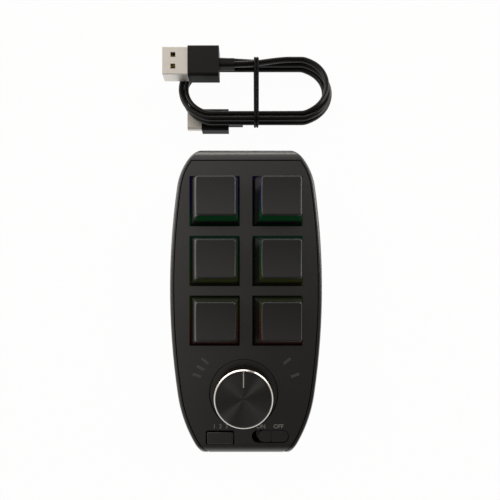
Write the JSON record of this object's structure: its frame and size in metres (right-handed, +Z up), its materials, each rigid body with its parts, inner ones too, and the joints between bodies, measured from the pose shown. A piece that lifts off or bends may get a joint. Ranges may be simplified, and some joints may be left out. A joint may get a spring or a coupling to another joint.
{
  "type": "macro keypad",
  "caption": "Desk macro keypad with sprung keys in lit wells, a push-and-turn knob, a layer button, a power slider, light bars and a USB lead in a tied hank.",
  "frame": {"origin": "middle of the keypad's underside, where the feet stand on the desk", "axes": "+X to the right seen by the user, +Y from the user to the back edge with the USB port, +Z up"},
  "size_m": [0.0756, 0.1725, 0.0349],
  "materials": {
    "case_black": "fine matte grain",
    "keycap_black": "smooth satin",
    "button_black": "satin",
    "foot_rubber": "matt",
    "dark_screw": "black zinc",
    "board_laminate": "solder mask",
    "chip_resin": "moulded",
    "cell_foil": "foil",
    "plate_steel": "powder coat",
    "light_package": "clear resin over a white cup",
    "light_pipe": "smoked clear",
    "port_steel": "drawn",
    "port_tongue": "moulded",
    "bushing_brass": "nickel plated",
    "shaft_metal": "turned",
    "switch_clear": "moulded",
    "switch_plastic": "moulded",
    "spring_steel": "drawn wire",
    "knob_aluminium": "turned and black anodised",
    "knob_bright": "diamond-cut chamfer",
    "pointer_paint": "paint in a groove",
    "cable_sheath": "matt sheath",
    "tie_plastic": "coated wire",
    "plug_steel": "nickel plated",
    "plug_grip": "moulded"
  },
  "bodies": {
    "case": {"lower_shell": "case_black", "upper_shell": "case_black", "face_plate": "case_black", "rubber_feet": "foot_rubber", "case_screws": "dark_screw", "main_board": "board_laminate", "controller_chip": "chip_resin", "battery": "cell_foil", "switch_plate": "plate_steel", "board_lights": "light_package", "layer_light_pipes": "light_pipe", "status_light_pipes": "light_pipe", "usb_port_shell": "port_steel", "usb_port_tongue": "port_tongue", "encoder_case": "chip_resin", "encoder_bushing": "bushing_brass", "tact_case": "chip_resin", "power_case": "chip_resin", "switch_housing_1": "switch_clear", "switch_housing_2": "switch_clear", "switch_housing_3": "switch_clear", "switch_housing_4": "switch_clear", "switch_housing_5": "switch_clear", "switch_housing_6": "switch_clear", "switch_spring_1": "spring_steel", "switch_spring_2": "spring_steel", "switch_spring_3": "spring_steel", "switch_spring_4": "spring_steel", "switch_spring_5": "spring_steel", "switch_spring_6": "spring_steel", "usb_cable": "cable_sheath", "cable_tie": "tie_plastic", "usb_a_shell": "plug_steel", "usb_a_insert": "port_tongue", "usb_a_grip": "plug_grip", "usb_c_shell": "plug_steel", "usb_c_grip": "plug_grip"},
    "key_1": {"keycap_1": "keycap_black", "key_stem_1": "switch_plastic"},
    "key_2": {"keycap_2": "keycap_black", "key_stem_2": "switch_plastic"},
    "key_3": {"keycap_3": "keycap_black", "key_stem_3": "switch_plastic"},
    "key_4": {"keycap_4": "keycap_black", "key_stem_4": "switch_plastic"},
    "key_5": {"keycap_5": "keycap_black", "key_stem_5": "switch_plastic"},
    "key_6": {"keycap_6": "keycap_black", "key_stem_6": "switch_plastic"},
    "knob_push": {"encoder_plunger": "switch_plastic"},
    "knob": {"encoder_shaft": "shaft_metal", "knob_skirt": "knob_aluminium", "knob_ring": "knob_bright", "knob_face": "knob_aluminium", "knob_pointer": "pointer_paint"},
    "layer_key": {"layer_button": "button_black", "tact_plunger": "switch_plastic"},
    "power_switch": {"power_slider": "button_black", "power_lever": "switch_plastic"}
  },
  "joints": [
    {"name": "key_1_press", "type": "slide", "parent": "case", "child": "key_1", "axis": [0, 0, -1], "range_m": [0, 0.004], "stiffness_N_per_m": 75, "springref_m": -0.0046, "deforming": ["switch_spring_1"]},
    {"name": "key_2_press", "type": "slide", "parent": "case", "child": "key_2", "axis": [0, 0, -1], "range_m": [0, 0.004], "stiffness_N_per_m": 75, "springref_m": -0.0046, "deforming": ["switch_spring_2"]},
    {"name": "key_3_press", "type": "slide", "parent": "case", "child": "key_3", "axis": [0, 0, -1], "range_m": [0, 0.004], "stiffness_N_per_m": 75, "springref_m": -0.0046, "deforming": ["switch_spring_3"]},
    {"name": "key_4_press", "type": "slide", "parent": "case", "child": "key_4", "axis": [0, 0, -1], "range_m": [0, 0.004], "stiffness_N_per_m": 75, "springref_m": -0.0046, "deforming": ["switch_spring_4"]},
    {"name": "key_5_press", "type": "slide", "parent": "case", "child": "key_5", "axis": [0, 0, -1], "range_m": [0, 0.004], "stiffness_N_per_m": 75, "springref_m": -0.0046, "deforming": ["switch_spring_5"]},
    {"name": "key_6_press", "type": "slide", "parent": "case", "child": "key_6", "axis": [0, 0, -1], "range_m": [0, 0.004], "stiffness_N_per_m": 75, "springref_m": -0.0046, "deforming": ["switch_spring_6"]},
    {"name": "knob_press", "type": "slide", "parent": "case", "child": "knob_push", "axis": [0, 0, -1], "range_m": [0, 0.0005], "stiffness_N_per_m": 4000, "springref_m": -0.0005},
    {"name": "knob_turn", "type": "hinge", "parent": "knob_push", "child": "knob", "pos_m": [-0.0009, -0.0353, 0.028], "axis": [0, 0, -1], "continuous": true},
    {"name": "layer_press", "type": "slide", "parent": "case", "child": "layer_key", "axis": [0, 0, -1], "range_m": [0, 0.0004], "stiffness_N_per_m": 2500, "springref_m": -0.0005},
    {"name": "power_slide", "type": "slide", "parent": "case", "child": "power_switch", "axis": [-1, 0, 0], "range_m": [0, 0.0022]}
  ]
}
